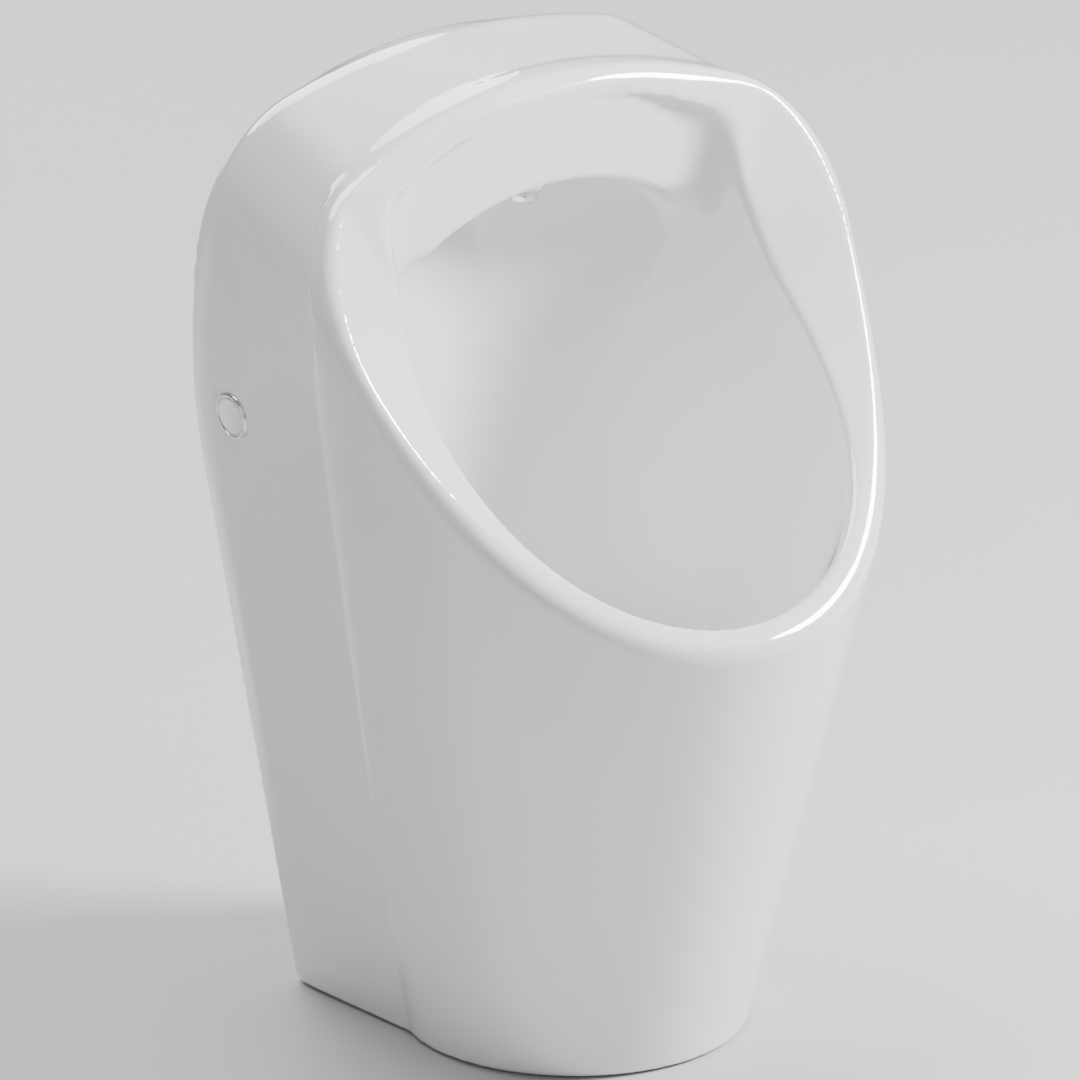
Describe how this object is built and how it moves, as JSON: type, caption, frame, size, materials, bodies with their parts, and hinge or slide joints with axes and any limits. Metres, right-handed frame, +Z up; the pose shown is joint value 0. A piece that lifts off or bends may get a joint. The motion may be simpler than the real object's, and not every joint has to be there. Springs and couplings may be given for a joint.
{
  "type": "wall-hung urinal",
  "caption": "Wall-hung urinal with a slanted egg-shaped mouth, a tapered bowl front on an arched housing, a top spray head and a concealed trap with a lift-out strainer.",
  "frame": {"origin": "on the wall plane, midway between the two wall studs, level with the side fixings", "axes": "+Z up, +Y into the wall, +X to the right as seen by the user, who stands at -Y"},
  "size_m": [0.377, 0.3835, 0.5628],
  "materials": {
    "ceramic": "gloss white glaze",
    "chrome": "polished",
    "steel": "zinc-plated satin",
    "brass": "machined",
    "rubber": "matte black",
    "nylon": "natural nylon",
    "trap_plastic": "white moulded",
    "insert_plastic": "blue-grey moulded",
    "pipe_plastic": "grey extruded"
  },
  "bodies": {
    "fixture": {"ceramic_body": "ceramic", "side_bush_left": "nylon", "side_bush_right": "nylon", "side_screw_left": "steel", "side_screw_right": "steel", "wall_bracket_left": "steel", "wall_bracket_right": "steel", "wall_studs": "steel", "wall_washers": "steel", "wall_nuts": "steel", "inlet_nipple": "brass", "inlet_seal": "rubber", "inlet_nut": "brass", "supply_pipe": "chrome", "spray_head": "chrome", "spray_gasket": "rubber", "spray_washer": "nylon", "spray_locknut": "brass", "supply_seal": "rubber", "supply_nut": "brass", "drain_upper_gasket": "rubber", "drain_flange": "chrome", "drain_lower_gasket": "rubber", "drain_locknut": "trap_plastic", "trap_seal": "rubber", "trap_nut": "trap_plastic", "trap_housing": "trap_plastic", "outlet_pipe": "pipe_plastic", "outlet_seal": "rubber", "outlet_nut": "trap_plastic", "outlet_wall_sleeve": "rubber"},
    "cap_left": {"side_cap_left": "chrome"},
    "cap_right": {"side_cap_right": "chrome"},
    "insert": {"trap_insert": "insert_plastic", "insert_o_ring": "rubber"},
    "strainer": {"strainer": "chrome"}
  },
  "joints": [
    {"name": "cap_left_pull", "type": "slide", "parent": "fixture", "child": "cap_left", "axis": [-0.9933, 0.0166, -0.114], "range_m": [0, 0.012]},
    {"name": "cap_right_pull", "type": "slide", "parent": "fixture", "child": "cap_right", "axis": [0.9933, 0.0166, -0.114], "range_m": [0, 0.012]},
    {"name": "insert_lift", "type": "slide", "parent": "fixture", "child": "insert", "axis": [0, 0, 1], "range_m": [0, 0.11]},
    {"name": "strainer_lift", "type": "slide", "parent": "insert", "child": "strainer", "axis": [0, 0, 1], "range_m": [0, 0.06]}
  ]
}
